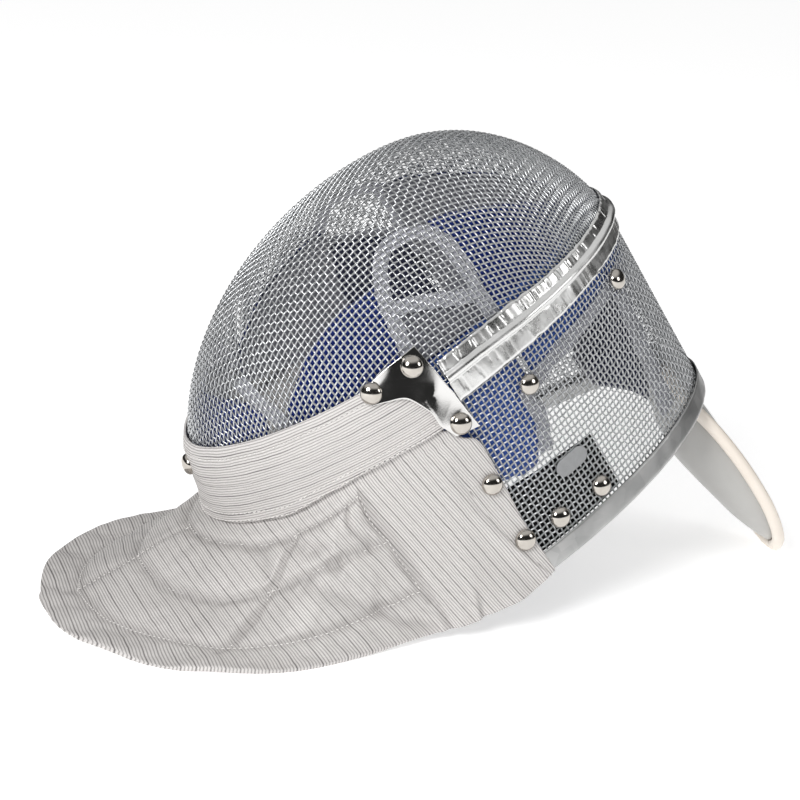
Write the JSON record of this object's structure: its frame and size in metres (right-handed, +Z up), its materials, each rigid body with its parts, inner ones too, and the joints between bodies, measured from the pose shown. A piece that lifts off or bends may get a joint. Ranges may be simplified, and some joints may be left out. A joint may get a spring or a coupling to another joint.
{
  "type": "fencing mask",
  "caption": "Fencing mask lying face up on its bib: wire face and wrap, seam band, chromed corner plates, quilted silver cloth bib, padded blue lining and spring tongue.",
  "frame": {"origin": "on the surface the mask lies on, under the middle of its bounding box", "axes": "-Y towards the front of the bib, +X towards the wearer's left, +Z up from the surface; the tongue points along +Y and down"},
  "size_m": [0.2375, 0.4335, 0.2495],
  "materials": {
    "wire": "drawn galvanised wire, satin bright",
    "seam_band": "bright tinned sheet, crinkled where it is pressed over the wire",
    "rim": "dull galvanised strip",
    "corner_plate": "mirror chromed",
    "rivet": "polished nickel, slightly warm",
    "bib_cloth": "silver metallic cloth with a fine stripe, quilted in front",
    "tongue_vinyl": "white vinyl-faced cloth over padding, soft sheen",
    "tongue_piping": "cream piping, soft sheen",
    "lining": "royal blue padded cloth",
    "grey_webbing": "light grey webbing",
    "black_webbing": "black webbing",
    "tag": "bare grey oval tag"
  },
  "bodies": {
    "root": {"front_mesh": "wire", "rear_mesh": "wire", "seam_band": "seam_band", "rear_rim": "rim", "side_plate_left": "corner_plate", "side_plate_right": "corner_plate", "bib_collar": "bib_cloth", "bib_skirt": "bib_cloth", "tongue_pad": "tongue_vinyl", "tongue_piping": "tongue_piping", "lining_forehead": "lining", "lining_crown": "lining", "lining_chin": "lining", "lining_side_left": "lining", "lining_side_right": "lining", "crown_strap_left": "grey_webbing", "crown_strap_right": "grey_webbing", "strap_patch_left": "black_webbing", "strap_patch_right": "black_webbing", "size_tag": "tag", "rivet_chin": "rivet", "rivet_plate_front_left": "rivet", "rivet_plate_top_left": "rivet", "rivet_plate_rear_left": "rivet", "rivet_bib_middle_left": "rivet", "rivet_bib_rear_left": "rivet", "rivet_patch_low_left": "rivet", "rivet_patch_high_left": "rivet", "rivet_lining_low_left": "rivet", "rivet_lining_high_left": "rivet", "rivet_plate_front_right": "rivet", "rivet_plate_top_right": "rivet", "rivet_plate_rear_right": "rivet", "rivet_bib_middle_right": "rivet", "rivet_bib_rear_right": "rivet", "rivet_patch_low_right": "rivet", "rivet_patch_high_right": "rivet", "rivet_lining_low_right": "rivet", "rivet_lining_high_right": "rivet"}
  },
  "joints": []
}
